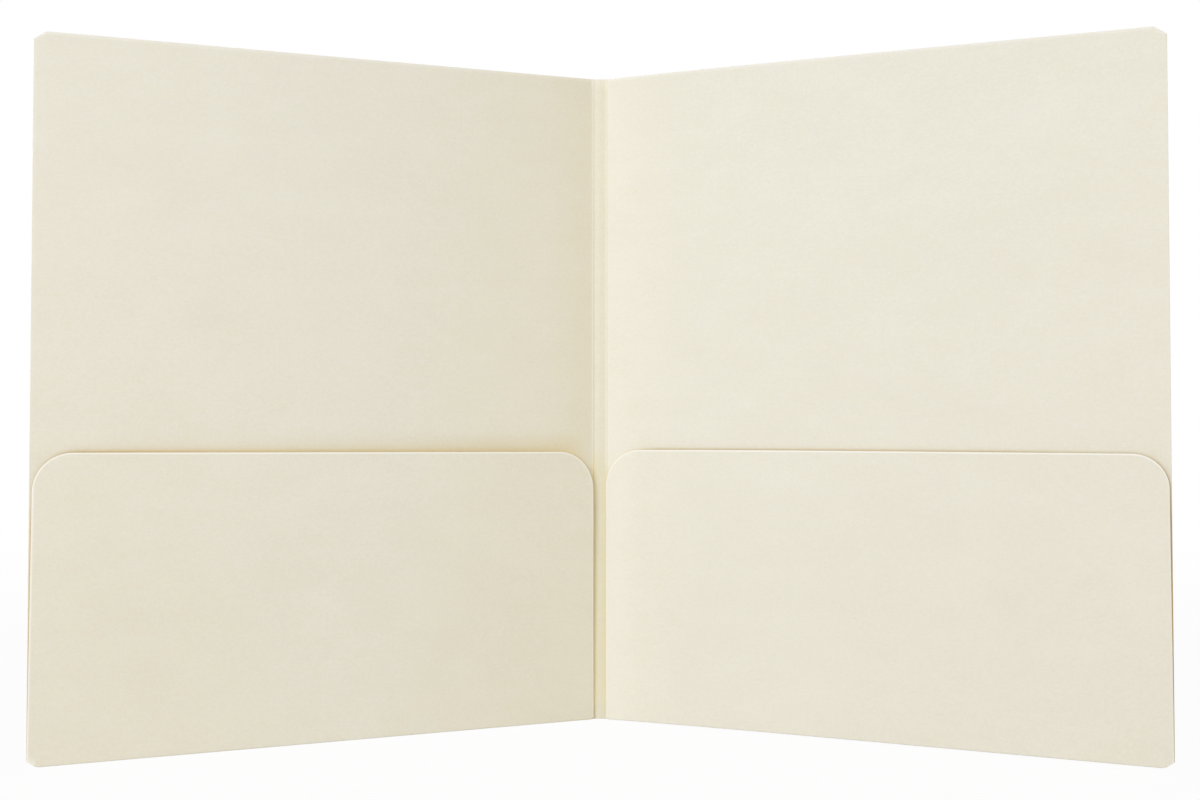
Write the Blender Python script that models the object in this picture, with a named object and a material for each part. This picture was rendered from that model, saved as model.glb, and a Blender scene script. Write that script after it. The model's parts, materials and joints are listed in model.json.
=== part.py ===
"""A two-pocket paperboard folder, standing open as a shallow V.

Metres, +Z up. The inside faces -Y and the spine stands at the back. A folder is one die-cut sheet, scored,
folded and glued, so every panel between two scores is an object of its own. Each cover hangs on an empty
that stands on its score, and each pocket on an empty along its bottom fold.
"""

import math

import bmesh
import bpy
from mathutils import Vector

# The sheet
BOARD = 0.00046  # thickness of the board
SCORE_GAP = 0.0003  # left between two panels that meet at a score
PLY_GAP = 0.00005  # left between two plies that lie on each other

# Covers and spine
COVER_WIDTH = 0.2413  # from the score to the outer edge
COVER_HEIGHT = 0.29845
COVER_FOLD = math.radians(20.0)  # each cover, folded in from lying flat
SPINE_WIDTH = 0.00635  # from one outer score to the other
TOP_CLIP_WIDTH = 0.0044  # the outer corners are clipped
TOP_CLIP_HEIGHT = 0.0028
BOTTOM_CLIP_WIDTH = 0.0033
BOTTOM_CLIP_HEIGHT = 0.0026

# Pockets
POCKET_INNER_HEIGHT = 0.1248  # top edge above the folder's bottom, at the spine
POCKET_OUTER_HEIGHT = 0.1265  # and at the outer edge
POCKET_CORNER_RADIUS = 0.0165
POCKET_INNER_INSET = 0.0005  # free edge, back from the score
POCKET_TOP_INSET = 0.0012  # folded edge, back from the cover's edge at the top
POCKET_BOTTOM_INSET = 0.0002  # and at the bottom
POCKET_LEAN = math.radians(0.4)  # the pocket springs a little away from its cover
FOLD_RADIUS = 0.0003  # outside of the bend under the bottom fold

# Glue flaps
FLAP_WIDTH = 0.0125
FLAP_MITRE = 0.005  # the flap's ends slant by this much
FLAP_END_MARGIN = 0.004  # the flap ends short of the pocket's shaped corners
GLUE_MARGIN = 0.0025  # the glue stays back from the flap's edges
GLUE_CORNER_RADIUS = 0.002
GLUE_THICKNESS = 0.00012

ARC_STEPS = 14  # facets in a rounded corner

# What follows from them
FOLD_TOP = BOARD + SCORE_GAP  # covers and pockets start above the bottom fold
FLAP_BACK = GLUE_THICKNESS + 2 * PLY_GAP  # from the cover's inner face
POCKET_BACK = FLAP_BACK + BOARD + PLY_GAP
POCKET_FRONT = POCKET_BACK + BOARD

# Finishes: colour as seen on the photographed board, 0 to 255
BOARD_ROUGHNESS = 0.85
GLUE_ROUGHNESS = 0.4
LEFT_COVER_COLOUR = (231, 226, 209)
RIGHT_COVER_COLOUR = (235, 230, 214)
LEFT_POCKET_COLOUR = (229, 223, 205)
RIGHT_POCKET_COLOUR = (233, 228, 211)
SPINE_COLOUR = (235, 229, 207)
FOLD_COLOUR = (226, 219, 199)
GLUE_COLOUR = (240, 236, 222)


def clear_scene():
    for obj in list(bpy.data.objects):
        bpy.data.objects.remove(obj, do_unlink=True)


def linear(colour):
    """The light that a displayed 0 to 255 colour stands for, channel by channel."""
    return [((level / 255 + 0.055) / 1.055) ** 2.4 for level in colour]


def finish(name, colour, roughness):
    """A plain matte material of one colour."""
    material = bpy.data.materials.new(name)
    material.use_nodes = True
    shader = material.node_tree.nodes["Principled BSDF"]
    shader.inputs["Base Color"].default_value = (*linear(colour), 1.0)
    shader.inputs["Roughness"].default_value = roughness
    shader.inputs["Metallic"].default_value = 0.0
    return material


def axis_empty(name, parent, location, rotation):
    """An empty on a fold line, which carries what turns about that line."""
    empty = bpy.data.objects.new(name, None)
    empty.empty_display_size = SPINE_WIDTH
    empty.parent = parent
    empty.location = location
    empty.rotation_euler = rotation
    bpy.context.collection.objects.link(empty)
    return empty


def rounded(corners):
    """The outline through (across, up, radius) corners, with each radius as an arc."""
    outline = []
    count = len(corners)
    for index, (across, up, radius) in enumerate(corners):
        corner = Vector((across, up))
        if radius == 0:
            outline.append(corner)
            continue
        back = (Vector(corners[index - 1][:2]) - corner).normalized()
        ahead = (Vector(corners[(index + 1) % count][:2]) - corner).normalized()
        half_angle = back.angle(ahead) / 2
        centre = corner + (back + ahead).normalized() * radius / math.sin(half_angle)
        first = corner + back * radius / math.tan(half_angle) - centre
        last = corner + ahead * radius / math.tan(half_angle) - centre
        sweep = math.pi - 2 * half_angle
        for step in range(ARC_STEPS + 1):
            turned = step / ARC_STEPS * sweep
            spoke = first * math.sin(sweep - turned) + last * math.sin(turned)
            outline.append(centre + spoke / math.sin(sweep))
    return outline


def solid(name, ring, push, parent, material):
    """A closed solid: one face round the ring, extruded by the push."""
    shape = bmesh.new()
    face = shape.faces.new([shape.verts.new(point) for point in ring])
    extruded = bmesh.ops.extrude_face_region(shape, geom=[face])["geom"]
    moved = [item for item in extruded if isinstance(item, bmesh.types.BMVert)]
    bmesh.ops.translate(shape, vec=push, verts=moved)
    bmesh.ops.recalc_face_normals(shape, faces=shape.faces)
    mesh = bpy.data.meshes.new(name)
    shape.to_mesh(mesh)
    shape.free()
    mesh.materials.append(material)
    obj = bpy.data.objects.new(name, mesh)
    obj.parent = parent
    bpy.context.collection.objects.link(obj)
    return obj


def panel(name, side, outline, face, thickness, parent, material):
    """A flat panel: the outline lies across the cover and up, the thickness grows away from the inside."""
    ring = [(side * across, face, up) for across, up in outline]
    return solid(name, ring, (0, thickness, 0), parent, material)


def pocket_side(up):
    """How far out from the score the pocket's folded edge lies at a height above its bottom."""
    height = POCKET_OUTER_HEIGHT - FOLD_TOP
    inset = POCKET_BOTTOM_INSET + (POCKET_TOP_INSET - POCKET_BOTTOM_INSET) * up / height
    return COVER_WIDTH - inset


def make_spine_strip(name, side, parent):
    crease = SCORE_GAP / 2
    score = SPINE_WIDTH / 2 - SCORE_GAP / 2
    outline = [(crease, 0), (score, 0), (score, COVER_HEIGHT), (crease, COVER_HEIGHT)]
    return panel(name, side, outline, 0, BOARD, parent, finish(name, SPINE_COLOUR, BOARD_ROUGHNESS))


def make_cover(name, side, parent, colour):
    score = SCORE_GAP / 2
    outline = [
        (score, FOLD_TOP),
        (COVER_WIDTH - BOTTOM_CLIP_WIDTH, FOLD_TOP),
        (COVER_WIDTH, FOLD_TOP + BOTTOM_CLIP_HEIGHT),
        (COVER_WIDTH, COVER_HEIGHT - TOP_CLIP_HEIGHT),
        (COVER_WIDTH - TOP_CLIP_WIDTH, COVER_HEIGHT),
        (score, COVER_HEIGHT),
    ]
    return panel(name, side, outline, 0, BOARD, parent, finish(name, colour, BOARD_ROUGHNESS))


def make_pocket(name, side, parent, colour):
    """Lies on its own empty, so heights here count from the pocket's bottom edge."""
    outer_top = POCKET_OUTER_HEIGHT - FOLD_TOP
    inner_top = POCKET_INNER_HEIGHT - FOLD_TOP
    clip_start = pocket_side(0) - BOTTOM_CLIP_WIDTH
    outline = rounded([
        (POCKET_INNER_INSET, 0, 0),
        (clip_start, 0, 0),
        (pocket_side(BOTTOM_CLIP_HEIGHT), BOTTOM_CLIP_HEIGHT, 0),
        (pocket_side(outer_top), outer_top, POCKET_CORNER_RADIUS),
        (POCKET_INNER_INSET, inner_top, POCKET_CORNER_RADIUS),
    ])
    return panel(name, side, outline, -BOARD, BOARD, parent, finish(name, colour, BOARD_ROUGHNESS))


def make_bottom_fold(name, side, parent):
    """The strip under the pocket, bent round at both of its long edges."""
    bend = min(FOLD_RADIUS, 0.9 * BOARD)
    profile = rounded([(BOARD, 0, bend), (BOARD, BOARD, 0), (-POCKET_FRONT, BOARD, 0), (-POCKET_FRONT, 0, bend)])
    start = SCORE_GAP / 2
    end = COVER_WIDTH - BOTTOM_CLIP_WIDTH
    ring = [(side * start, depth, up) for depth, up in profile]
    push = (side * (end - start), 0, 0)
    return solid(name, ring, push, parent, finish(name, FOLD_COLOUR, BOARD_ROUGHNESS))


def flap_ends():
    """Lower and upper end of the flap's folded edge, above the pocket's bottom."""
    lower = BOTTOM_CLIP_HEIGHT + FLAP_END_MARGIN
    upper = POCKET_OUTER_HEIGHT - FOLD_TOP - POCKET_CORNER_RADIUS - FLAP_END_MARGIN
    return lower, upper


def make_glue_flap(name, side, parent, colour):
    lower, upper = flap_ends()
    outline = [
        (pocket_side(lower), FOLD_TOP + lower),
        (pocket_side(upper), FOLD_TOP + upper),
        (pocket_side(upper) - FLAP_WIDTH, FOLD_TOP + upper - FLAP_MITRE),
        (pocket_side(lower) - FLAP_WIDTH, FOLD_TOP + lower + FLAP_MITRE),
    ]
    front = -(FLAP_BACK + BOARD)
    return panel(name, side, outline, front, BOARD, parent, finish(name, colour, BOARD_ROUGHNESS))


def make_glue_line(name, side, parent):
    lower, upper = flap_ends()
    low = FOLD_TOP + lower + FLAP_MITRE + GLUE_MARGIN
    high = FOLD_TOP + upper - FLAP_MITRE - GLUE_MARGIN
    outline = rounded([
        (pocket_side(lower) - GLUE_MARGIN, low, GLUE_CORNER_RADIUS),
        (pocket_side(upper) - GLUE_MARGIN, high, GLUE_CORNER_RADIUS),
        (pocket_side(upper) - FLAP_WIDTH + GLUE_MARGIN, high, GLUE_CORNER_RADIUS),
        (pocket_side(lower) - FLAP_WIDTH + GLUE_MARGIN, low, GLUE_CORNER_RADIUS),
    ])
    front = -(PLY_GAP + GLUE_THICKNESS)
    return panel(name, side, outline, front, GLUE_THICKNESS, parent, finish(name, GLUE_COLOUR, GLUE_ROUGHNESS))


def make_half(word, side, parent, cover_colour, pocket_colour):
    """A cover with its pocket, hung on the spine's outer score."""
    score_axis = axis_empty(f"{word}_score_axis", parent, (side * SPINE_WIDTH / 2, 0, 0), (0, 0, -side * COVER_FOLD))
    pocket_axis = axis_empty(f"{word}_pocket_axis", score_axis, (0, -POCKET_BACK, FOLD_TOP), (POCKET_LEAN, 0, 0))
    make_cover(f"{word}_cover", side, score_axis, cover_colour)
    make_bottom_fold(f"{word}_bottom_fold", side, score_axis)
    make_glue_line(f"{word}_glue_line", side, score_axis)
    make_glue_flap(f"{word}_glue_flap", side, score_axis, pocket_colour)
    make_pocket(f"{word}_pocket", side, pocket_axis, pocket_colour)


def centre_depth(folder):
    """Slide the folder until the origin lies midway between its front and its back."""
    bpy.context.view_layer.update()
    meshes = [obj for obj in bpy.data.objects if obj.type == "MESH"]
    depths = [(obj.matrix_world @ vertex.co).y for obj in meshes for vertex in obj.data.vertices]
    folder.location.y -= (min(depths) + max(depths)) / 2
    bpy.context.view_layer.update()


def main():
    clear_scene()
    folder = axis_empty("folder_origin", None, (0, 0, 0), (0, 0, 0))
    crease_axis = axis_empty("spine_crease_axis", folder, (0, 0, 0), (0, 0, 0))
    make_spine_strip("spine_left_strip", -1, folder)
    make_spine_strip("spine_right_strip", 1, crease_axis)
    make_half("left", -1, folder, LEFT_COVER_COLOUR, LEFT_POCKET_COLOUR)
    make_half("right", 1, crease_axis, RIGHT_COVER_COLOUR, RIGHT_POCKET_COLOUR)
    centre_depth(folder)


main()
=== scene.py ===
# %% [markdown]
# # A paperboard pocket folder, standing open
#
# The object is one sheet of cream board, die-cut, scored, folded and glued. The imported model gives every
# panel its place and size. Here each panel becomes a thin sheet with a cut edge, the scores become pressed
# beads, and the board gets its fibres, clouds and pale cut edges. Light and shade are partly painted into the
# board's colour: a highlight along cuts, folds and beads, slow drifts over the covers, and warmth and shade
# in the fold and the gaps.

# %% Load the frame
import json
import math
from functools import partial

import bpy
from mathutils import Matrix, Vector


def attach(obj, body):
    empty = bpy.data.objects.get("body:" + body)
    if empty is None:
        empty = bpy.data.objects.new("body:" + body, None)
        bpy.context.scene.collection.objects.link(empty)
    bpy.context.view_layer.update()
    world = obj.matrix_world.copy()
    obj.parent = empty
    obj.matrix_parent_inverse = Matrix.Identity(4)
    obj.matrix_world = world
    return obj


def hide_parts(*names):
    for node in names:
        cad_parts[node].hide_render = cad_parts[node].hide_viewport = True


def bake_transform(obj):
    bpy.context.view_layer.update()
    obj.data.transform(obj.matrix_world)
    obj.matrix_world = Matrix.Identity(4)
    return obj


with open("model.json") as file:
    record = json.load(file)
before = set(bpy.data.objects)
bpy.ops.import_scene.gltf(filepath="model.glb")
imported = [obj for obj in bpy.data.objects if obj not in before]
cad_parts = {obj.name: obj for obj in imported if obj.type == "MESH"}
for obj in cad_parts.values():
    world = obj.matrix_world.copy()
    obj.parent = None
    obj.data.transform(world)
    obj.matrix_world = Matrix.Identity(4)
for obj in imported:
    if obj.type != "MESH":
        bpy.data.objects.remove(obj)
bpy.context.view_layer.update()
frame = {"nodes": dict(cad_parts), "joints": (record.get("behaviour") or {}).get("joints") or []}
MM = 0.001

# %% [markdown]
# ## Directions of a half
#
# Each cover is flat, so its pieces are easiest to describe in the cover's own directions: across (from the
# score to the outer edge), lift (from the cover's inner face towards the reader) and up. The joints of the
# frame hold all that is needed: the score's place, and the pocket's hinge, which runs along the cover. The
# right half was folded a little askew and stands a hair higher than the left, so its points climb with it.

# %% Directions of a half
joints = {joint["name"]: joint for joint in frame["joints"]}
SIDES = {"left": -1, "right": 1}
score = {word: Vector(joints[f"{word}_cover_fold"]["pos_m"]) for word in SIDES}
crease = Vector(joints["spine_crease_fold"]["pos_m"])
across_way = {word: side * Vector(joints[f"{word}_pocket_flex"]["axis"]) for word, side in SIDES.items()}
lift_way = {word: side * Vector((across_way[word].y, -across_way[word].x, 0)) for word, side in SIDES.items()}
HALF_RAISE = {"left": 0.0, "right": 0.8 * MM}
RAISE_REACH = 45 * MM


def place(word, across, lift, up):
    """A point of one half, given in the cover's own directions."""
    raised = HALF_RAISE[word] * (1 - math.exp(-max(across, 0.0) / RAISE_REACH))
    return score[word] + across * across_way[word] + lift * lift_way[word] + Vector((0, 0, up + raised))


def reach(node, word):
    """Lowest and highest across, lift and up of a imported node."""
    points = [vertex.co - score[word] for vertex in frame["nodes"][node].data.vertices]
    spread = [(p.dot(across_way[word]), p.dot(lift_way[word]), p.z) for p in points]
    return [min(values) for values in zip(*spread)], [max(values) for values in zip(*spread)]


cover_low, cover_high = reach("right_cover", "right")
pocket_low, pocket_high = reach("right_pocket", "right")
fold_high = reach("right_bottom_fold", "right")[1]
COVER_WIDTH = cover_high[0]
COVER_HEIGHT = cover_high[2]
BOARD = cover_high[1] - cover_low[1]
FOLD_TOP = cover_low[2]
POCKET_FRONT = fold_high[1]
HALF_SPINE = score["right"].x - crease.x
print("cover", round(COVER_WIDTH / MM, 2), "x", round(COVER_HEIGHT / MM, 2), "board", round(BOARD / MM, 3))
print("half spine", round(HALF_SPINE / MM, 3), "pocket front", round(POCKET_FRONT / MM, 3))

# %% [markdown]
# ## Shader helpers
#
# A material is a graph of nodes, and wired up node by node even one noise texture fills half a screen. So a
# few helpers come first. One adds a node with its settings, one links a socket or sets it to a value, and the
# others wire up the noises and sums that the finishes below are made of.

# %% Shader helpers
def add(tree, kind, **settings):
    """A shader node with its plain settings and its input values set by name."""
    node = tree.nodes.new(kind)
    for key, value in settings.items():
        if key in node.inputs:
            node.inputs[key].default_value = value
        else:
            setattr(node, key, value)
    return node


def feed(tree, socket, value):
    """Links a socket to another node's output, or sets it to a plain value."""
    if isinstance(value, (int, float, tuple)):
        socket.default_value = value
    else:
        tree.links.new(value, socket)


def noise(tree, vector, scale, detail, roughness=0.55):
    texture = add(tree, "ShaderNodeTexNoise", Scale=scale, Detail=detail, Roughness=roughness)
    feed(tree, texture.inputs["Vector"], vector)
    return texture.outputs["Fac"]


def stretched(tree, vector, scale, turn=(0, 0, 0)):
    """Coordinates squeezed by unlike amounts along X, Y and Z, for streaks and fibres."""
    mapping = add(tree, "ShaderNodeMapping", Scale=scale, Rotation=turn)
    feed(tree, mapping.inputs["Vector"], vector)
    return mapping.outputs["Vector"]


def arithmetic(tree, operation, first, second):
    node = add(tree, "ShaderNodeMath", operation=operation)
    feed(tree, node.inputs[0], first)
    feed(tree, node.inputs[1], second)
    return node.outputs["Value"]


def new_finish(name):
    """An empty material: its graph, its shader and the object's own coordinates."""
    material = bpy.data.materials.new(name)
    material.use_nodes = True
    tree = material.node_tree
    return material, tree, tree.nodes["Principled BSDF"], add(tree, "ShaderNodeTexCoord").outputs["Object"]


helpers = (add, feed, noise, stretched, arithmetic, new_finish)
print("helpers:", ", ".join(helper.__name__ for helper in helpers))

# %% [markdown]
# ## Factors and mixes
#
# Most tints below are laid on by a factor between 0 and 1 that changes from one place on the folder to
# another. A Map Range node with smooth ends gives such a factor. Several are multiplied where all of them
# have to agree, and a Mix node lays the tint on.

# %% Factors and mixes
def ranged(tree, value, low, high, to_low, to_high):
    """A value moved from one range to another and held at its ends."""
    ends = {"From Min": low, "From Max": high, "To Min": to_low, "To Max": to_high}
    node = add(tree, "ShaderNodeMapRange", interpolation_type="SMOOTHSTEP", **ends)
    feed(tree, node.inputs["Value"], value)
    return node.outputs["Result"]


def grows(tree, value, zone, most=1.0):
    """A factor that grows from 0 across a zone."""
    return ranged(tree, value, *zone, 0.0, most)


def fades(tree, value, zone, least=0.0):
    """A factor that fades from 1 across a zone."""
    return ranged(tree, value, *zone, 1.0, least)


def times(tree, first, *others):
    for other in others:
        first = arithmetic(tree, "MULTIPLY", first, other)
    return first


def mixed(tree, factor, first, second, blend_type="MIX"):
    node = add(tree, "ShaderNodeMix", data_type="RGBA", blend_type=blend_type)
    feed(tree, node.inputs["Factor"], factor)
    feed(tree, node.inputs[6], first)
    feed(tree, node.inputs[7], second)
    return node.outputs[2]


factors = (ranged, grows, fades, times, mixed)
print("factors:", ", ".join(helper.__name__ for helper in factors))

# %% [markdown]
# ## Pulp
#
# Uncoated cream board is never one colour. Pulp settles in soft clouds a few centimetres wide, the paper
# machine draws them out into faint level streaks, and close up there is a mottle with fibres lying across
# it. Each is a noise texture in the object's own coordinates. Their sum says where the board is light or
# dark, and one more noise says where it is a little warmer.

# %% Pulp
BOARD_COLOUR = (0.850, 0.818, 0.716, 1.0)
BOARD_SHADE = (0.774, 0.731, 0.608, 1.0)
WARM_PULP = (1.0, 0.994, 0.972, 1.0)
FIBRE_STRETCH = (420, 420, 5200)
FIBRE_SLANTS = (0.5, -0.7)
STREAK_STRETCH = (36, 36, 75)
WARMTH_STRETCH = (120, 120, 180)
CLOUD_WEIGHT = 0.28
STREAK_WEIGHT = 0.42
MOTTLE_WEIGHT = 0.95
FIBRE_WEIGHT = 0.8


def crossed_fibres(tree, where):
    """Two sets of long thin streaks that cross at a slant."""
    one_way, other_way = [
        noise(tree, stretched(tree, where, FIBRE_STRETCH, (0, slant, 0)), 1, 2) for slant in FIBRE_SLANTS
    ]
    return times(tree, one_way, other_way)


def pulp_colour(tree, where, mottle, fibres):
    clouds = noise(tree, where, 22, 3)
    streaks = noise(tree, stretched(tree, where, STREAK_STRETCH), 1, 5, 0.6)
    tone = times(tree, clouds, CLOUD_WEIGHT)
    for part, weight in ((streaks, STREAK_WEIGHT), (mottle, MOTTLE_WEIGHT), (fibres, FIBRE_WEIGHT)):
        tone = arithmetic(tree, "ADD", tone, times(tree, part, weight))
    pulp = mixed(tree, ranged(tree, tone, 0.72, 1.32, 0.45, 1.0), BOARD_SHADE, BOARD_COLOUR)
    warmth = noise(tree, stretched(tree, where, WARMTH_STRETCH), 1, 6, 0.9)
    return mixed(tree, grows(tree, warmth, (0.38, 0.62)), pulp, WARM_PULP, "MULTIPLY")


print("board from", BOARD_SHADE[:3], "to", BOARD_COLOUR[:3])

# %% [markdown]
# ## Cut edges and pressed lines
#
# A knife cut shows the board's paler core, and a pressed score line is darker. Both are painted stronger
# than that: the pale band is also a painted highlight where a cut, fold or bead rounds over into the light,
# and the dark lines are also painted shade. Where they lie depends on the shape of each sheet, so the sheet
# itself stores it, as an attribute of its points: above zero is core and painted highlight, below zero is
# pressed board and painted shade. The finish only has to read that attribute and mix the two colours in.

# %% Cut edges and pressed lines
PALE_CREAM = (0.96, 0.935, 0.86, 1.0)
PRESSED_AND_SHADE_COLOUR = (0.9, 0.8, 0.55, 1.0)
PALE_ATTRIBUTE = "paleness"


# Mixes in the pale colour, core with painted highlight, and the dark one, pressed board with painted shade.
def edges_and_painted_shade(tree, pulp):
    stored = add(tree, "ShaderNodeAttribute", attribute_name=PALE_ATTRIBUTE).outputs["Fac"]
    pulp = mixed(tree, grows(tree, stored, (0.0, 1.0)), pulp, PALE_CREAM)
    return mixed(tree, grows(tree, stored, (0.0, -1.0)), pulp, PRESSED_AND_SHADE_COLOUR, "MULTIPLY")


print("cut edges and pressed lines are read from the attribute", PALE_ATTRIBUTE)

# %% [markdown]
# ## Broad painted light
#
# The board's colour drifts slowly over the folder, and the drifts are painted light: warmer towards the spine
# on the left and towards the bottom, a little cooler on the right cover, and paler in a band beside the right
# score. They stand in for light that one cover throws on the other and for light falling more from above,
# which the lamps alone don't give here. Such slow changes need no texture: each is a tint, multiplied in by a
# factor that grows and fades along the folder.

# %% Broad painted light
WARM_PAINTED_LIGHT = (0.992, 0.978, 0.938, 1.0)
WARM_ZONE = (-130 * MM, 0.0)
WARM_END = (-2 * MM, 6 * MM)
COOL_PAINTED_LIGHT = (0.977, 0.985, 1.0, 1.0)
COOL_ZONE = (3 * MM, 48 * MM)
COOL_END = (140 * MM, COVER_WIDTH)
LOW_PAINTED_SHADE = (0.986, 0.973, 0.949, 1.0)
LOW_LEFT_ZONE = (-200 * MM, -80 * MM)
LOW_RIGHT_ZONE = (30 * MM, 150 * MM)
LOW_HEIGHTS = (60 * MM, COVER_HEIGHT)
PAINTED_LIGHT_BAND = (4 * MM, 22 * MM)
PALE_BAND_START = (2 * MM, 4 * MM)
PALE_BAND_HEIGHTS = (110 * MM, 180 * MM)


# Painted light and shade: slow tints for light bounced between covers and light falling from above.
def broad_painted_light(tree, pulp, sideways, height):
    warm = times(tree, grows(tree, sideways, WARM_ZONE), fades(tree, sideways, WARM_END))
    cool = times(tree, grows(tree, sideways, COOL_ZONE), fades(tree, sideways, COOL_END, 0.4))
    low = arithmetic(tree, "ADD", fades(tree, sideways, LOW_LEFT_ZONE, 0.1),
                     grows(tree, sideways, LOW_RIGHT_ZONE, 0.4))
    low = times(tree, low, fades(tree, height, LOW_HEIGHTS))
    for factor, tint in ((warm, WARM_PAINTED_LIGHT), (cool, COOL_PAINTED_LIGHT), (low, LOW_PAINTED_SHADE)):
        pulp = mixed(tree, factor, pulp, tint, "MULTIPLY")
    pale = times(tree, ranged(tree, sideways, *PAINTED_LIGHT_BAND, 0.24, 0.0), grows(tree, sideways, PALE_BAND_START),
                 fades(tree, height, PALE_BAND_HEIGHTS, 0.35))
    return mixed(tree, pale, pulp, PALE_CREAM)


print("tones drift over", round(2 * COVER_WIDTH / MM), "mm of board")

# %% [markdown]
# ## Painted warmth in the fold
#
# In the fold the light has bounced from board to board, and each bounce makes it more golden. That warmth is
# painted into the colour: the spine is warmer than the covers, most of all between the pockets, and so is the
# left cover just before it. Along the spine's left score below the pockets a painted shade, where the left
# pocket's free edge shadows it, is laid on too. Only the inside is so: the normal of a face tells whether it
# looks forward, and the outside keeps its plain colour.

# %% Painted warmth in the fold
FOLD_PAINTED_BOUNCE = (0.985, 0.972, 0.93, 1.0)
FOLD_ZONE = (-28 * MM, -5 * MM)
FOLD_END = (-2 * MM, 2 * MM)
SPINE_PAINTED_BOUNCE = (1.0, 0.985, 0.9, 1.0)
SPINE_RIGHT_FACET = (-0.6 * MM, 0.8 * MM)
SPINE_ENDS = ((-3.4 * MM, -4.2 * MM), (2.8 * MM, 3.5 * MM))
BETWEEN_POCKETS = (118 * MM, 130 * MM)
ABOVE_FLOOR = (0.0, 14 * MM)
SCORE_PAINTED_SHADE = (1.0, 0.95, 0.8, 1.0)
SCORE_SHADE_ZONE = (-2.8 * MM, -1.4 * MM)
SCORE_HEIGHTS = (112 * MM, 122 * MM)


def front_side(tree):
    """1 on faces that look forward, 0 on the outside of the folder."""
    facing = add(tree, "ShaderNodeSeparateXYZ")
    feed(tree, facing.inputs["Vector"], add(tree, "ShaderNodeNewGeometry").outputs["True Normal"])
    return fades(tree, facing.outputs["Y"], (-0.1, 0.1))


def painted_fold_bounce(tree, pulp, sideways, height):
    """Painted bounce light: the left cover is warmer in the last centimetres before the spine."""
    near = times(tree, grows(tree, sideways, FOLD_ZONE), fades(tree, sideways, FOLD_END), front_side(tree))
    return mixed(tree, near, pulp, FOLD_PAINTED_BOUNCE, "MULTIPLY")


def painted_spine_light(tree, pulp, sideways, height):
    """Painted warm bounce between the pockets and on the right facet, painted shade along the left score."""
    front = front_side(tree)
    between = times(tree, fades(tree, height, BETWEEN_POCKETS), ranged(tree, height, *ABOVE_FLOOR, 0.2, 1.0))
    warm = arithmetic(tree, "MAXIMUM", between, ranged(tree, sideways, *SPINE_RIGHT_FACET, 0.1, 0.6))
    for zone in SPINE_ENDS:
        warm = times(tree, warm, fades(tree, sideways, zone))
    pulp = mixed(tree, times(tree, warm, front), pulp, SPINE_PAINTED_BOUNCE, "MULTIPLY")
    # A painted warm shade where the left pocket's free edge shadows the left score.
    line = times(tree, fades(tree, sideways, SCORE_SHADE_ZONE), fades(tree, height, SCORE_HEIGHTS), front)
    return mixed(tree, line, pulp, SCORE_PAINTED_SHADE, "MULTIPLY")


print("warm from", round(FOLD_ZONE[0] / MM), "mm to the right score")

# %% [markdown]
# ## Painted shade in the gaps beside the pockets
#
# The narrow gaps between a pocket and its cover are golden and dim, more so than plain shadow would make
# them, so their shade and warmth are painted into the colour. An Ambient Occlusion node finds them, because
# it measures how much of a point's surroundings is open. Two painted tints follow it: a deeper cream for the
# warm light bounced into the gaps, mostly in the left half, and a painted shade further out. The step beside
# the right pocket's outer edge is too shallow to close much of the view, so its painted shadow has a factor
# of its own.

# %% Gaps beside the pockets
GAP_PAINTED_BOUNCE = (0.95, 0.8, 0.46, 1.0)
GAP_PAINTED_SHADE = (0.74, 0.62, 0.42, 1.0)
STEP_PAINTED_SHADOW = (0.78, 0.6, 0.34, 1.0)
GAP_REACH = 6 * MM
OFF_FLOOR = (2 * MM, 8 * MM)
BOUNCE_END = (2 * MM, 6 * MM)
BOUNCE_FADES = (
    ((-12 * MM, -30 * MM), 0.85),
    ((-195 * MM, -225 * MM), 0.25),
    ((150 * MM, 220 * MM), 0.3),
)
SHADE_LEFT = (-215 * MM, -145 * MM)
SHADE_LEFT_FADES = (((-145 * MM, -10 * MM), 0.55), ((-24 * MM, -8 * MM), 0.0))
SHADE_CORNER = (-210 * MM, -225 * MM)
SHADE_CORNER_HEIGHTS = (98 * MM, 110 * MM)
SHADE_RIGHT = (12 * MM, 28 * MM)
SHADE_RIGHT_FADE = (160 * MM, 205 * MM)
STEP_ZONE = (219 * MM, 225 * MM)
STEP_HEIGHTS = (98 * MM, 112 * MM)


def painted_gap_bounce(tree, sideways):
    """How strong the painted warm bounce is along the folder."""
    cream = fades(tree, sideways, BOUNCE_END, 0.3)
    for zone, least in BOUNCE_FADES:
        cream = times(tree, cream, fades(tree, sideways, zone, least))
    return cream


def painted_gap_shade_strength(tree, sideways, height):
    """How strong the painted shade is along the folder, weaker round the left pocket's outer corner."""
    left = ranged(tree, sideways, *SHADE_LEFT, 0.95, 0.5)
    for zone, least in SHADE_LEFT_FADES:
        left = times(tree, left, fades(tree, sideways, zone, least))
    corner = times(tree, grows(tree, sideways, SHADE_CORNER, 0.6), grows(tree, height, SHADE_CORNER_HEIGHTS))
    left = times(tree, left, arithmetic(tree, "SUBTRACT", 1.0, corner))
    right = times(tree, grows(tree, sideways, SHADE_RIGHT, 0.95),
                  fades(tree, sideways, SHADE_RIGHT_FADE, 0.65))
    return arithmetic(tree, "ADD", left, right)


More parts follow.
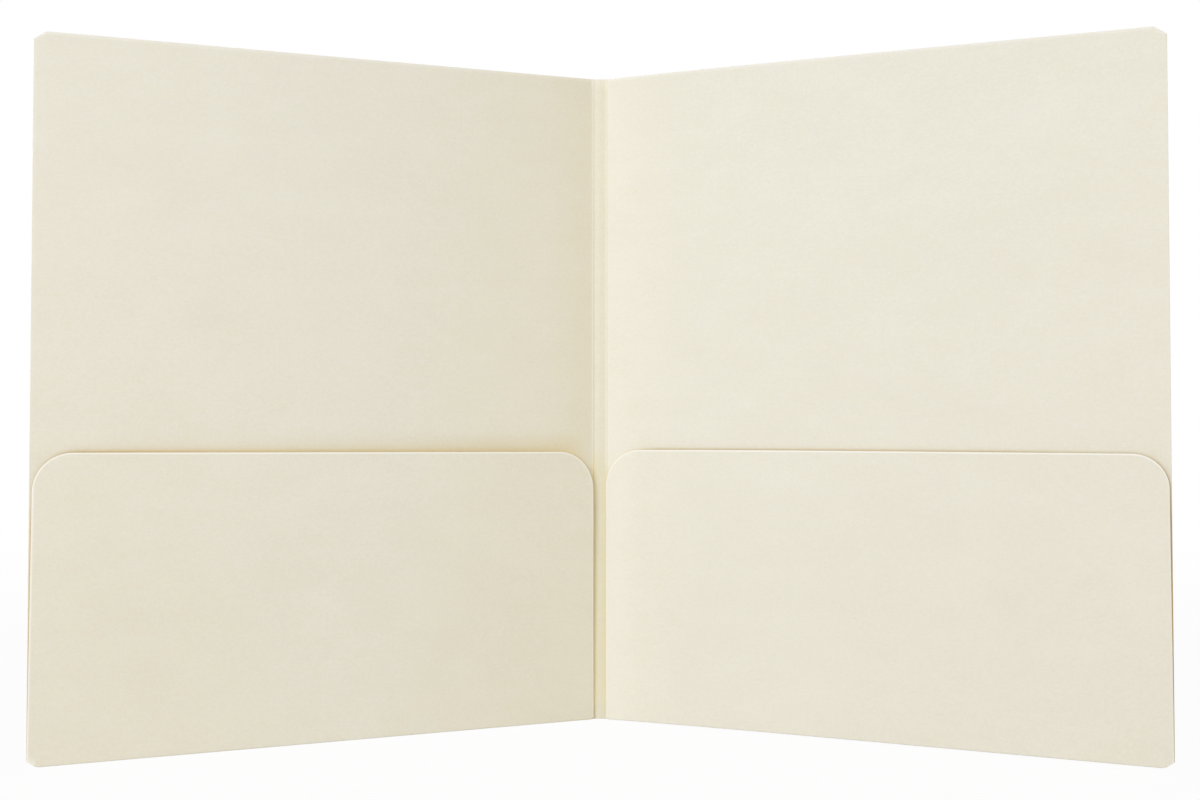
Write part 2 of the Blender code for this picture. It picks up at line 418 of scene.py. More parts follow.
def painted_gap_light(tree, pulp, sideways, height):
    """All three painted tints of bounce and shade, none of them where only the floor closes the view."""
    open_air = add(tree, "ShaderNodeAmbientOcclusion", Distance=GAP_REACH, samples=8).outputs["AO"]
    off_floor = grows(tree, height, OFF_FLOOR)
    # The cream tint is painted warm bounce light; the shade and the step are painted shade and shadow.
    cream = times(tree, painted_gap_bounce(tree, sideways), fades(tree, open_air, (0.45, 0.98)), off_floor)
    shade = times(tree, painted_gap_shade_strength(tree, sideways, height), fades(tree, open_air, (0.45, 0.97)), off_floor)
    step = times(tree, grows(tree, sideways, STEP_ZONE), fades(tree, height, STEP_HEIGHTS, 0.25),
                 fades(tree, open_air, (0.75, 0.97)), off_floor)
    pulp = mixed(tree, cream, pulp, GAP_PAINTED_BOUNCE)
    pulp = mixed(tree, shade, pulp, GAP_PAINTED_SHADE, "MULTIPLY")
    return mixed(tree, step, pulp, STEP_PAINTED_SHADOW, "MULTIPLY")


print("gaps are looked for within", round(GAP_REACH / MM), "mm")

# %% [markdown]
# ## The board's finish
#
# Now the parts come together in one material. Board has a dull surface with a fine tooth, so the roughness is
# high and varies with the mottle, and a very shallow bump of fibres and grain breaks up the light. The
# pockets take the same finish without the painted light and shade of fold and gaps: they lie above the gaps,
# and when the folder closes they face each other a few millimetres apart, which an Ambient Occlusion node
# takes for one.

# %% The board's finish
MOTTLE_SCALE = 820
GRAIN_SCALE = 1700
TOOTH_DEPTH = 0.06 * MM


def board_finish(name, *tints):
    """The pulp, edges with painted highlight and shade, broad painted light, and further painted tints."""
    material, tree, shader, where = new_finish(name)
    mottle = noise(tree, where, MOTTLE_SCALE, 4, 0.65)
    fibres = crossed_fibres(tree, where)
    spread = add(tree, "ShaderNodeSeparateXYZ")
    feed(tree, spread.inputs["Vector"], where)
    sideways, height = spread.outputs["X"], spread.outputs["Z"]
    colour = edges_and_painted_shade(tree, pulp_colour(tree, where, mottle, fibres))
    colour = broad_painted_light(tree, colour, sideways, height)
    for tint in tints:
        colour = tint(tree, colour, sideways, height)
    feed(tree, shader.inputs["Base Color"], colour)
    feed(tree, shader.inputs["Roughness"], ranged(tree, mottle, 0.3, 0.7, 0.74, 0.9))
    shader.inputs["Specular IOR Level"].default_value = 0.25
    bump = add(tree, "ShaderNodeBump", Strength=0.22, Distance=TOOTH_DEPTH)
    feed(tree, bump.inputs["Height"], arithmetic(tree, "ADD", noise(tree, where, GRAIN_SCALE, 3), fibres))
    feed(tree, shader.inputs["Normal"], bump.outputs["Normal"])
    return material


board = board_finish("cream_board", painted_fold_bounce, painted_gap_light)
spine_board = board_finish("cream_spine_board", painted_spine_light, painted_gap_light)
pocket_board = board_finish("cream_pocket_board")
for finish in (board, spine_board, pocket_board):
    print(finish.name, len(finish.node_tree.nodes), "nodes")

# %% [markdown]
# ## Rounded cuts
#
# A knife rounds the board's faces over by a small radius, and right at the cut the board is painted palest:
# its core, and a painted highlight where the rounded cut catches the light. Both depend only on the distance
# from the cut. So every sheet crowds its points towards its cuts, where a face turns quickly, and spaces them
# evenly elsewhere.

# %% Rounded cuts
CUT_RADIUS = 0.16 * MM
CUT_STEPS = [step * MM for step in (0, 0.015, 0.045, 0.09, 0.16, 0.28, 0.45, 0.7, 1.05, 1.6, 2.6, 4.2)]
PALE_FULL = 0.3 * MM
PALE_REACH = 1.0 * MM


def rounding(distance):
    """How far a face falls back at a distance from the cut."""
    if distance >= CUT_RADIUS:
        return 0.0
    return CUT_RADIUS - math.sqrt(max(0.0, CUT_RADIUS**2 - (CUT_RADIUS - max(distance, 0.0)) ** 2))


def smooth(share):
    """Eases a share from 0 to 1, and holds it there."""
    held = min(1.0, max(0.0, share))
    return held * held * (3 - 2 * held)


def paleness(distance, strength, far=PALE_REACH):
    """How pale a point is painted, core and highlight: fully at the cut, not at all a little way in."""
    return strength * smooth((far - distance) / (far - PALE_FULL))


def spaced(start, end, count):
    return [start + (end - start) * step / count for step in range(count + 1)]


print("cuts rounded by", round(CUT_RADIUS / MM, 2), "mm, pale for", round(PALE_REACH / MM, 2), "mm")

# %% [markdown]
# ## A sheet of board
#
# A Solidify modifier on a flat outline would give the thickness, but not a cut edge that rolls over, and a
# flat face has no points to bow. So a sheet is drawn as columns, and each column runs from the lower to the
# upper outline. The front and the back round off alike towards a cut, and a rim closes the two into one body.
# Each point also stores how pale it is painted, core and highlight, and the front a painted shade besides.

# %% A sheet of board
SHARP_ANGLE = math.radians(35)


def closed_sheet(name, front, back, pale, wide, side, finish=board, tone=None):
    """Joins a front and a back grid of points, column by column, with a rim all round. The pale values go to
    both faces, and tone, a painted shade, is added on the front."""
    count = len(front)
    tall = count // wide
    quads = []
    for i in range(wide - 1):
        for j in range(tall - 1):
            a, b = i * tall + j, (i + 1) * tall + j
            quads.append((a, b, b + 1, a + 1))
            quads.append((a + count, a + 1 + count, b + 1 + count, b + count))
    rim = [i * tall for i in range(wide)]
    rim += [(wide - 1) * tall + j for j in range(1, tall)]
    rim += [i * tall + tall - 1 for i in range(wide - 2, -1, -1)]
    rim += [j for j in range(tall - 2, 0, -1)]
    for here, after in zip(rim, rim[1:] + rim[:1]):
        quads.append((here, here + count, after + count, after))
    if side < 0:
        quads = [quad[::-1] for quad in quads]
    mesh = bpy.data.meshes.new(name)
    mesh.from_pydata([tuple(point) for point in front + back], [], quads)
    front_pale = [cut + shade for cut, shade in zip(pale, tone)] if tone else pale
    mesh.attributes.new(PALE_ATTRIBUTE, "FLOAT", "POINT").data.foreach_set("value", front_pale + pale)
    mesh.shade_smooth()
    mesh.set_sharp_from_angle(angle=SHARP_ANGLE)
    mesh.materials.append(finish)
    obj = bpy.data.objects.new(name, mesh)
    bpy.context.scene.collection.objects.link(obj)
    print(name, len(mesh.vertices), "points")
    return obj


def sheet(name, word, columns, rows, shape, cut, strength, far=PALE_REACH, finish=board, shade=None):
    """A panel: rows gives a column's heights, shape its true across and lift, cut the distance to a cut,
    strength how pale the nearest cut is painted and shade, where there is one, a painted shade on the front."""
    front, back, pale, tone = [], [], [], []
    for column in columns:
        for up in rows(column):
            distance = cut(column, up)
            across, lift = shape(column, up)
            fall = rounding(distance)
            front.append(place(word, across, lift - fall, up))
            back.append(place(word, across, lift - BOARD + fall, up))
            pale.append(paleness(distance, strength(column, up), far))
            tone.append(shade(column, up) if shade else 0.0)
    return closed_sheet(name, front, back, pale, len(columns), SIDES[word], finish, tone)


print("faces shade smoothly up to", round(math.degrees(SHARP_ANGLE)), "degrees")

# %% [markdown]
# ## Outline of a cover
#
# A cover is a flat panel with its two outer corners clipped, slightly rounded rather than dead straight. Only
# its top and outer side are cuts. A drawn curve could hold that outline, but a sheet needs two other things:
# the heights of each column, and how far any point is from the nearest cut. Short formulas give both.

# %% Outline of a cover
TOP_CLIP = (5.05 * MM, 3.45 * MM)
TOP_SWELL = 0.12 * MM
BOTTOM_CLIP = (5.2 * MM, 2.7 * MM)
BOTTOM_SWELL = 0.5 * MM
COVER_ROWS = 72


def clip_depth(gap, clip, swell):
    """How much a clipped corner takes off the height of a column at a gap from the outer edge."""
    share = max(0.0, 1 - gap / clip[0])
    return clip[1] * share - swell * 4 * share * (1 - share)


def low_edge(gap):
    """The bottom of a panel: the bend, or the clip where that is higher."""
    return max(FOLD_TOP, clip_depth(gap, BOTTOM_CLIP, BOTTOM_SWELL))


def clip_gap(up, low, clip):
    """Distance from a slanting clip, or far away where the column has none."""
    if low <= FOLD_TOP:
        return COVER_WIDTH
    return (up - low) * clip[0] / math.hypot(*clip)


def cover_high_edge(across):
    return COVER_HEIGHT - clip_depth(COVER_WIDTH - across, TOP_CLIP, TOP_SWELL)


def cover_rows(across):
    low, high = low_edge(COVER_WIDTH - across), cover_high_edge(across)
    near_low = [low + step for step in CUT_STEPS]
    near_high = [high - step for step in reversed(CUT_STEPS)]
    return near_low + spaced(near_low[-1], near_high[0], COVER_ROWS)[1:-1] + near_high


def cover_cut(across, up):
    gap = COVER_WIDTH - across
    high = cover_high_edge(across)
    slant = TOP_CLIP[0] / math.hypot(*TOP_CLIP) if high < COVER_HEIGHT else 1
    return min(gap, (high - up) * slant, clip_gap(up, low_edge(gap), BOTTOM_CLIP))


print("heights in a column of the cover:", len(cover_rows(COVER_WIDTH / 2)))

# %% [markdown]
# ## Covers
#
# A cover stops short of the score, where the pressed bead takes over. Its top edge is painted paler than its
# sides, and the left cover's outer side paler than the right's: a painted highlight where the cut catches the
# light. Above the left pocket, which stands well off its cover, lies a painted warm shade wider than the gap
# itself. It is stored in the same attribute as the pale cuts, on the front alone, so the outside stays plain.

# %% Covers
SCORE_REACH = 1.1 * MM
COVER_COLUMNS = 40
COVER_TOP_HIGHLIGHT = 0.4
COVER_SIDE_HIGHLIGHT = {"left": 0.2, "right": 0.0}
COVER_PALE_REACH = 2.2 * MM
SHADE_FROM = 125 * MM
SHADE_HEIGHT = 13 * MM
SHADE_START = 2 * MM
SHADE_EASE = 8 * MM
SHADE_AT_SPINE = 0.52
SHADE_AT_OUTER_EDGE = 0.15


# How pale the nearest cut is painted: core, with a painted highlight that is strongest along the top.
def cover_strength(word, across, up):
    if cover_high_edge(across) - up < COVER_WIDTH - across:
        return COVER_TOP_HIGHLIGHT
    return COVER_SIDE_HIGHLIGHT[word]


def cover_painted_shade(word, across, up):
    """Painted warm shade above the left pocket, deepest where it stands furthest from the cover."""
    if word == "right":
        return 0.0
    depth = SHADE_AT_SPINE + (SHADE_AT_OUTER_EDGE - SHADE_AT_SPINE) * across / COVER_WIDTH
    begun = smooth((across - SHADE_START) / SHADE_EASE)
    return -depth * begun * smooth(1 - (up - SHADE_FROM) / SHADE_HEIGHT)


def cover_shape(across, up):
    """A cover is flat: its columns stay where they are."""
    return across, 0.0


edge_steps = sorted(CUT_STEPS + [BOTTOM_CLIP[0], TOP_CLIP[0]], reverse=True)
near_edge = [COVER_WIDTH - step for step in edge_steps]
cover_columns = spaced(SCORE_REACH, near_edge[0], COVER_COLUMNS)[:-1] + near_edge
for word in SIDES:
    cover = sheet(f"{word}_cover_sheet", word, cover_columns, cover_rows, cover_shape, cover_cut,
                  partial(cover_strength, word), COVER_PALE_REACH, shade=partial(cover_painted_shade, word))
    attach(cover, f"{word}_cover_body")
    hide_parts(f"{word}_cover")

# %% [markdown]
# ## Relief of the spine
#
# The spine is a quarter-inch strip with a crease down its middle, which stands a hair proud, so its two
# facets catch the light differently. Each outer score is a line pressed from outside, which raises a small
# bead on the inside. The bead is painted pale, a painted highlight where it rounds into the light, and beside
# it the board is painted darker, pressed board with painted shade in the valley. The bead and these lines are
# bell curves across the score.

# %% Relief of the spine
CREASE_RISE = 0.13 * MM
BEAD_WIDTH = 0.4 * MM
BEAD_RISE = 0.15 * MM
PRESSED_WIDTH = 0.24 * MM
# Pale entries are a painted highlight on the bead, dark ones pressed board with painted shade.
BEAD_HIGHLIGHT_AND_SHADE = {
    "left": ((0.38 * MM, 0.35), (-0.16 * MM, -0.8)),
    "right": ((-0.3 * MM, 0.35), (0.36 * MM, -0.3), (0.75 * MM, 0.25)),
}
PRESSED_HEIGHT = 150 * MM
PRESSED_FADE = 0.7


def hump(offset, width):
    return math.exp(-((offset / width) ** 2))


def score_relief(offset):
    """Height of the bead at an offset from the score."""
    return BEAD_RISE * hump(offset, BEAD_WIDTH)


def bead_highlight_and_shade(word, offset):
    """Painted highlight on the bead; warm dark lines beside it, pressed board with painted shade."""
    return sum(tint * hump(offset - middle, PRESSED_WIDTH) for middle, tint in BEAD_HIGHLIGHT_AND_SHADE[word])


def score_marks_share(up):
    """The lines show most low down and fade towards the top."""
    return 1 - PRESSED_FADE * min(1.0, max(0.0, up / PRESSED_HEIGHT - 1))


def spine_lift(x):
    """Height of the spine's inner face at a distance from the crease."""
    return CREASE_RISE * max(0.0, 1 - abs(x) / (HALF_SPINE - SCORE_REACH))


def spine_point(x, lift, up):
    return crease + Vector((x, -lift, up))


print("crease rises", round(CREASE_RISE / MM, 2), "mm, beads", round(BEAD_RISE / MM, 2), "mm")

# %% [markdown]
# ## Spine and scores
#
# Strips of the folder's full height make the spine. A strip has one station for each of its columns, which
# gives a point for any height and depth. The facets are stiff and ride on the two halves of the spine. The
# beads and the crease, which bend, are only set in place here and ride on no body.

# %% Spine and scores
CREASE_REACH = 0.35 * MM
SPINE_TOP_HIGHLIGHT = 0.45
STRIP_ROWS = 40
FACET_COLUMNS = 8
BEAD_COLUMNS = 32


def strip(name, stations, tints, side=1):
    """A full-height strip; each station gives a point for a height and a depth below its face."""
    ends = CUT_STEPS[:7]
    heights = ends + spaced(ends[-1], COVER_HEIGHT - ends[-1], STRIP_ROWS)[1:-1]
    heights += [COVER_HEIGHT - step for step in reversed(ends)]
    falls = {up: rounding(min(up, COVER_HEIGHT - up)) for up in heights}
    front = [station(up, falls[up]) for station in stations for up in heights]
    back = [station(up, BOARD - falls[up]) for station in stations for up in heights]
    # The top cut is painted pale: core with a painted highlight.
    pale_top = {up: paleness(COVER_HEIGHT - up, SPINE_TOP_HIGHLIGHT) for up in heights}
    pale = [pale_top[up] + tint * score_marks_share(up) for tint in tints for up in heights]
    return closed_sheet(name, front, back, pale, len(stations), side, spine_board)


def facet_station(x):
    return lambda up, depth: spine_point(x, spine_lift(x) - depth, up)


def score_station(word, offset):
    """A point of a score: the spine's side for offsets below 0, the cover's side above."""
    side = SIDES[word]
    relief = score_relief(offset)
    if offset < 0:
        return lambda up, depth: spine_point(side * (HALF_SPINE + offset), relief - depth, up)
    return lambda up, depth: place(word, offset, relief - depth, up)


spine_bodies = {"left": "spine", "right": "spine_right_half"}
edge = HALF_SPINE - SCORE_REACH
for word, side in SIDES.items():
    stations = [facet_station(side * x) for x in spaced(CREASE_REACH, edge, FACET_COLUMNS)]
    facet = strip(f"spine_{word}_facet", stations, [0.0] * len(stations), side)
    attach(facet, spine_bodies[word])
    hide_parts(f"spine_{word}_strip")
    offsets = spaced(-SCORE_REACH, SCORE_REACH, BEAD_COLUMNS)
    tints = [bead_highlight_and_shade(word, offset) for offset in offsets]
    bead = strip(f"{word}_score_bead", [score_station(word, offset) for offset in offsets], tints, side)
    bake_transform(bead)
stations = [facet_station(x) for x in spaced(-CREASE_REACH, CREASE_REACH, FACET_COLUMNS)]
crease_line = strip("centre_crease", stations, [0.0] * len(stations))
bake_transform(crease_line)

# %% [markdown]
# ## Bottom bends
#
# Under each pocket the sheet turns up from the cover: a narrow trough with two soft bends. It is drawn as a
# path in cross-section, once for its outside and once for its inside, and swept along the cover.

# %% Bottom bends
BEND_RADIUS = 0.5 * MM
BEND_STEPS = 6
BEND_COLUMNS = 60


def trough(inset, radius):
    """Cross-section of the bend as (lift, up) points, from the cover's side to the pocket's."""
    cover_side = -BOARD + inset
    pocket_side = POCKET_FRONT - inset
    path = [(cover_side, FOLD_TOP)]
    for corner, turn in ((cover_side + radius, math.pi), (pocket_side - radius, 1.5 * math.pi)):
        for step in range(BEND_STEPS + 1):
            angle = turn + step / BEND_STEPS * math.pi / 2
            path.append((corner + radius * math.cos(angle), inset + radius + radius * math.sin(angle)))
    return path + [(pocket_side, FOLD_TOP)]


def bend_end(up):
    """Where the clipped corner ends the bend at a height: the clip's curve, solved for its place."""
    straight = BOTTOM_CLIP[1] - 4 * BOTTOM_SWELL
    share = (math.sqrt(straight**2 + 16 * BOTTOM_SWELL * up) - straight) / (8 * BOTTOM_SWELL)
    return COVER_WIDTH - BOTTOM_CLIP[0] * (1 - share)


def bottom_bend(word):
    """The trough swept along the cover, its outer end following the clipped corner."""
    shares = spaced(0, 1, BEND_COLUMNS)

    def sweep(path):
        points = []
        for share in shares:
            for lift, up in path:
                points.append(place(word, SCORE_REACH + share * (bend_end(up) - SCORE_REACH), lift, up))
        return points

    outside = sweep(trough(0.0, BEND_RADIUS))
    inside = sweep(trough(BOARD, BEND_RADIUS - BOARD))
    uncut = [0.0] * len(outside)
    return closed_sheet(f"{word}_bottom_bend", outside, inside, uncut, len(shares), SIDES[word])


for word in SIDES:
    bend = bottom_bend(word)
    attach(bend, f"{word}_cover_body")
    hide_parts(f"{word}_bottom_fold")

# %% [markdown]
# ## Outline of a pocket
#
# A pocket's top corners are rounded, each by its own radius, and its top edge isn't quite level. As for a
# cover, formulas give the heights of a column and the distance to the nearest cut. The columns crowd towards
# the corners, so that the arcs look round. The cut is painted palest along the top, core with a painted
# highlight.

# %% Outline of a pocket
POCKET_INNER = pocket_low[0]
POCKET_OUTER = pocket_high[0]
POCKET_TOPS = {"left": (123.85 * MM, 126.5 * MM), "right": (124.6 * MM, 125.35 * MM)}
POCKET_CORNERS = {"left": (16.5 * MM, 15.5 * MM), "right": (16.5 * MM, 14.0 * MM)}
CORNER_DEGREES = range(40, 91, 4)
POCKET_COLUMNS = 36
POCKET_ROWS = 30
POCKET_TOP_HIGHLIGHT = 1.0
POCKET_SIDE_HIGHLIGHT = {"left": (0.5, 0.9), "right": (0.5, 0.3)}


def pocket_line(word, column):
    """The top edge, rising a little from the spine to the outer edge."""
    inner, outer = POCKET_TOPS[word]
    return inner + (outer - inner) * (column - POCKET_INNER) / (POCKET_OUTER - POCKET_INNER)


def pocket_corner(word, column):
    """Radius of the top corner on the side that a column is nearer to."""
    inner, outer = POCKET_CORNERS[word]
    return inner if column - POCKET_INNER < POCKET_OUTER - column else outer


def pocket_top(word, column):
    """Height of the outline at a column, with both corners rounded."""
    radius = pocket_corner(word, column)
    gap = min(column - POCKET_INNER, POCKET_OUTER - column)
    short = radius - min(gap, radius)
    return pocket_line(word, column) - radius + math.sqrt(max(0.0, radius**2 - short**2))


def pocket_rows(word, column):
    low, high = low_edge(POCKET_OUTER - column), pocket_top(word, column)
    near_high = [high - step for step in reversed(CUT_STEPS)]
    return spaced(low, near_high[0], POCKET_ROWS)[:-1] + near_high


def pocket_cut(word, column, up):
    radius = pocket_corner(word, column)
    outer_gap = POCKET_OUTER - column
    side_gap = min(column - POCKET_INNER, outer_gap)
    top_gap = pocket_line(word, column) - up
    if side_gap < radius and top_gap < radius:
        return radius - math.hypot(radius - side_gap, radius - top_gap)
    return min(side_gap, top_gap, clip_gap(up, low_edge(outer_gap), BOTTOM_CLIP))


def pocket_strength(word, column, up):
    """Painted pale along the top, less down the sides: core with a highlight that changes with the light."""
    inner, outer = POCKET_SIDE_HIGHLIGHT[word]
    side = inner if column - POCKET_INNER < POCKET_OUTER - column else outer
    share = min(1.0, max(0.0, 1 - (pocket_line(word, column) - up) / pocket_corner(word, column)))
    return side + (POCKET_TOP_HIGHLIGHT - side) * share


def corner_gaps(radius):
    """Distances from a side that crowd towards it, then follow the corner by equal angles."""
    turns = [radius * (1 - math.cos(math.radians(angle))) for angle in CORNER_DEGREES]
    return sorted(CUT_STEPS[:-1] + [BOTTOM_CLIP[0]] + turns)


def pocket_columns(word):
    inner_radius, outer_radius = POCKET_CORNERS[word]
    inner = [POCKET_INNER + gap for gap in corner_gaps(inner_radius)]
    outer = [POCKET_OUTER - gap for gap in reversed(corner_gaps(outer_radius))]
    return inner + spaced(inner[-1], outer[0], POCKET_COLUMNS)[1:-1] + outer


print("columns of the pockets:", {word: len(pocket_columns(word)) for word in SIDES})

# %% [markdown]
# ## Pockets
#
# A pocket is glued down only along its outer edge, so its free inner side springs away from the cover, and
# the free corner curls back a little. At rest it stands far enough off the cover that it can also be pressed
# shut. When papers push it open, the glued edge stays with the cover and the free edge swings; here the sheet
# is only set in place at rest and rides on no body.

# %% Pockets
POCKET_INNER_EDGES = {"left": (0.15 * MM, 0.81 * MM), "right": (0.1 * MM, 0.1 * MM)}
POCKET_LEANS = {"left": 1.1 * MM, "right": 0.7 * MM}
POCKET_SPRINGS = {"left": 1.8 * MM, "right": 0.12 * MM}
POCKET_SPREADS = {"left": 0.6, "right": 1.5}
SPRING_BEND = 1.4
POCKET_CURL = 0.85
CURL_FROM = 0.75
CURL_REACH = 0.2


def pocket_shape(word, column, up):
    """The glued edge leans in towards the top, the free side springs away and its corner curls back."""
    rise = (up - FOLD_TOP) / POCKET_TOPS[word][1]
    outward = (column - POCKET_INNER) / (POCKET_OUTER - POCKET_INNER)
    bottom, top = POCKET_INNER_EDGES[word]
    inner_shift = bottom + (top - bottom) * rise - POCKET_INNER
    across = column - POCKET_LEANS[word] * rise * outward + inner_shift * (1 - outward)
    bent = max(0.0, rise) ** SPRING_BEND
    spring = POCKET_SPRINGS[word] * bent * max(0.0, 1 - outward) ** POCKET_SPREADS[word]
    curl = POCKET_CURL * smooth((rise - CURL_FROM) / (1 - CURL_FROM)) * smooth(1 - outward / CURL_REACH)
    return across, POCKET_FRONT + spring * (1 - curl)


for word in SIDES:
    pocket = sheet(f"{word}_pocket_sheet", word, pocket_columns(word), partial(pocket_rows, word),
                   partial(pocket_shape, word), partial(pocket_cut, word), partial(pocket_strength, word),
                   finish=pocket_board)
    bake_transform(pocket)
    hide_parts(f"{word}_pocket")

# %% [markdown]
# ## Flap folds
#
# The pocket's outer edge isn't a cut: the board turns back there into the glue flap. A bent strip stands for
# that fold. It follows most of a half circle, from under the pocket's rim round to the flap behind it.

# %% Flap folds
flap_low, flap_high = reach("right_glue_flap", "right")
TURN_RADIUS = (POCKET_FRONT - flap_low[1]) / 2
TURN_CENTRE = (POCKET_FRONT + flap_low[1]) / 2
TURN_DEGREES = range(50, -91, -10)
TURN_ROWS = 24
TURN_INSET = 0.03 * MM
# A fold shows no core: the turn's paleness is a painted highlight where it rounds over.
TURN_HIGHLIGHT = 0.3


def flap_turn(word, radius):
    """Points of the turn at one radius, from the pocket's side round to the flap's."""
    points = []
    for degrees in TURN_DEGREES:
        outward = radius * math.cos(math.radians(degrees))
        lift = TURN_CENTRE + radius * math.sin(math.radians(degrees))
        for up in spaced(flap_low[2], flap_high[2], TURN_ROWS):
            edge = pocket_shape(word, POCKET_OUTER, up)[0] - TURN_INSET - TURN_RADIUS
            points.append(place(word, edge + outward, lift, up))
    return points


for word in SIDES:
    outside = flap_turn(word, TURN_RADIUS)
    inside = flap_turn(word, TURN_RADIUS - BOARD)
    pale = [TURN_HIGHLIGHT] * len(outside)
    turn = closed_sheet(f"{word}_flap_turn", outside, inside, pale, len(TURN_DEGREES), SIDES[word])
    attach(turn, f"{word}_cover_body")

# %% [markdown]
# ## Glue flaps and glue
#
# Behind the pocket's outer edge lies a flap of the same board, held on the cover by a film of white glue.
# Their solids are right as they are, so they only take a finish.

# %% Glue flaps and glue
GLUE_COLOUR = (0.86, 0.83, 0.73, 1.0)
COMB_STRETCH = (300, 300, 60)
COMB_DEPTH = 0.05 * MM


def glue_finish():
    """Dried white glue: slightly glossy, with a combed surface."""
    material, tree, shader, where = new_finish("dried_glue")
    ripple = noise(tree, stretched(tree, where, COMB_STRETCH), 1, 2)
    feed(tree, shader.inputs["Base Color"], mixed(tree, ripple, GLUE_COLOUR, PALE_CREAM))
    feed(tree, shader.inputs["Roughness"], ranged(tree, ripple, 0.3, 0.7, 0.3, 0.5))
    bump = add(tree, "ShaderNodeBump", Strength=0.3, Distance=COMB_DEPTH)
    feed(tree, bump.inputs["Height"], ripple)
    feed(tree, shader.inputs["Normal"], bump.outputs["Normal"])
    return material


glue = glue_finish()
for word in SIDES:
    frame["nodes"][f"{word}_glue_flap"].material_slots[0].material = board
    frame["nodes"][f"{word}_glue_line"].material_slots[0].material = glue
print("flaps and glue finished")

# %% [markdown]
# ## Floor and background
#
# The folder stands on a plain white sweep with a very faint shadow. To the camera the floor is nearly pure
# white: a share of its lit surface is mixed with a white glow, less of it further out, so that the floor
# runs into the background without a line. The world is white to the camera and a soft grey as light. A
# Light Path node tells those two apart. The floor lies a tenth of a millimetre low, so nothing cuts into it.

# %% Floor and background
AMBIENT = 0.512
FLOOR_WHITE = (0.79, 0.79, 0.79, 1.0)
FLOOR_GLOW = 0.95
FLOOR_RUN_OUT = (0.3, 1.1)


def seen_directly(tree):
    """1 for rays that show the background: from the camera, or by way of gloss or glass."""
    path = add(tree, "ShaderNodeLightPath")
    seen = arithmetic(tree, "MAXIMUM", path.outputs["Is Camera Ray"], path.outputs["Is Glossy Ray"])
    return arithmetic(tree, "MAXIMUM", seen, path.outputs["Is Transmission Ray"])


def floor_finish():
    material, tree, shader, where = new_finish("white_sweep")
    shader.inputs["Base Color"].default_value = FLOOR_WHITE
    shader.inputs["Roughness"].default_value = 0.9
    shader.inputs["Specular IOR Level"].default_value = 0.1
    away = add(tree, "ShaderNodeVectorMath", operation="LENGTH")
    feed(tree, away.inputs[0], where)
    share = ranged(tree, away.outputs["Value"], *FLOOR_RUN_OUT, FLOOR_GLOW, 1.0)
    blend = add(tree, "ShaderNodeMixShader")
    feed(tree, blend.inputs["Fac"], times(tree, seen_directly(tree), share))
    feed(tree, blend.inputs[1], shader.outputs["BSDF"])
    feed(tree, blend.inputs[2], add(tree, "ShaderNodeEmission", Strength=1.0).outputs["Emission"])
    feed(tree, tree.nodes["Material Output"].inputs["Surface"], blend.outputs["Shader"])
    return material


def make_floor(half_width, below):
    corners = [(-1, -1), (1, -1), (1, 1), (-1, 1)]
    mesh = bpy.data.meshes.new("floor")
    mesh.from_pydata([(x * half_width, y * half_width, -below) for x, y in corners], [], [(0, 1, 2, 3)])
    mesh.materials.append(floor_finish())
    floor = bpy.data.objects.new("floor", mesh)
    bpy.context.scene.collection.objects.link(floor)


def make_world():
    world = bpy.data.worlds.new("white_room")
    world.use_nodes = True
    tree = world.node_tree
    shade = tree.nodes["Background"]
    shade.inputs["Color"].default_value = (1.0, 1.0, 1.0, 1.0)
    feed(tree, shade.inputs["Strength"], ranged(tree, seen_directly(tree), 0.0, 1.0, AMBIENT, 1.0))
    bpy.context.scene.world = world


make_floor(half_width=6.0, below=0.1 * MM)
make_world()
print("floor and world made, world light", AMBIENT)

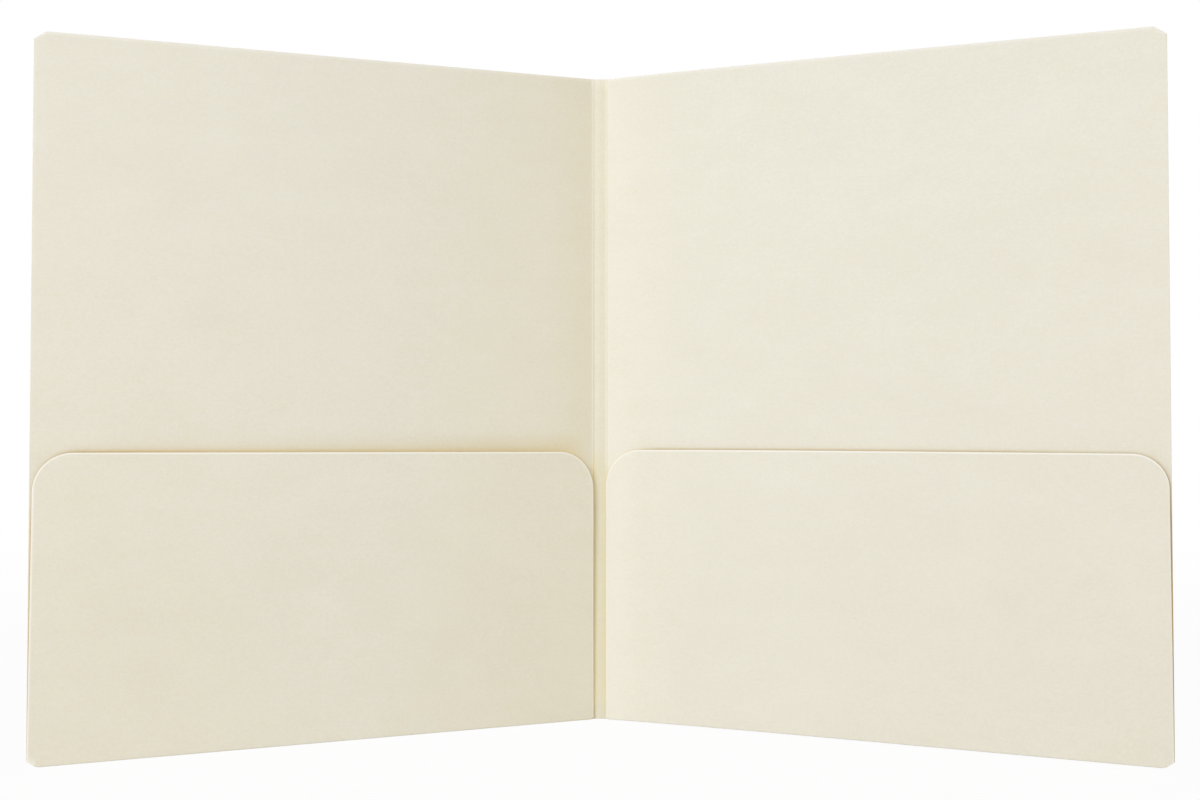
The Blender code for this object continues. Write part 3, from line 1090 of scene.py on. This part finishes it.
# %% [markdown]
# ## Lights
#
# The right cover is brighter than the left, and the left pocket's free edge throws a soft shadow to the
# right, so the key light is a large panel on the left, a little above the folder. A small weak panel in front
# opens the shadows in the fold. The rest is the white room itself.

# %% Lights
def panel_light(name, position, target, size, power):
    lamp = bpy.data.lights.new(name, "AREA")
    lamp.shape = "SQUARE"
    lamp.size = size
    lamp.energy = power
    light = bpy.data.objects.new(name, lamp)
    light.location = position
    light.rotation_euler = (Vector(target) - Vector(position)).to_track_quat("-Z", "Y").to_euler()
    bpy.context.scene.collection.objects.link(light)


LIT_POINT = (0, 0, 0.15)
panel_light("key_panel", position=(-0.93, -1.245, 0.73), target=LIT_POINT, size=1.12, power=11.2)
panel_light("low_panel", position=(0, -0.9, 0.16), target=LIT_POINT, size=0.3, power=1.2)

# %% [markdown]
# ## Camera
#
# The corners of the two covers, the spine and the pockets fix the camera: it stands about 0.6 m in front of
# the spine, at half the folder's height and almost level. The focal length is kept in pixels of the picture's
# width, because that is what such a fit gives, and becomes a lens for the sensor. A slight lens shift frames
# the folder without tilting its upright edges.

# %% Camera
PHOTO_WIDTH = 1200
FOCAL_PIXELS = 1291.1
SHIFT_PIXELS = -30.0
SENSOR = 36.0
CAMERA_ASIDE = 5.57 * MM
CAMERA_DISTANCE = 602.9 * MM
CAMERA_HEIGHT = 147.0 * MM
CAMERA_TILT = math.radians(1.414)
CAMERA_TURN = math.radians(0.53)
lens = bpy.data.cameras.new("camera")
lens.sensor_width = SENSOR
lens.sensor_fit = "HORIZONTAL"
lens.lens = FOCAL_PIXELS / PHOTO_WIDTH * SENSOR
lens.shift_y = SHIFT_PIXELS / PHOTO_WIDTH
lens.clip_start = 0.01
camera = bpy.data.objects.new("camera", lens)
camera.location = (CAMERA_ASIDE, crease.y - CAMERA_DISTANCE, CAMERA_HEIGHT)
camera.rotation_euler = (math.pi / 2 + CAMERA_TILT, 0, CAMERA_TURN)
bpy.context.scene.collection.objects.link(camera)
bpy.context.scene.camera = camera
bpy.context.scene.view_settings.view_transform = "Standard"
print("lens", round(lens.lens, 2), "mm")
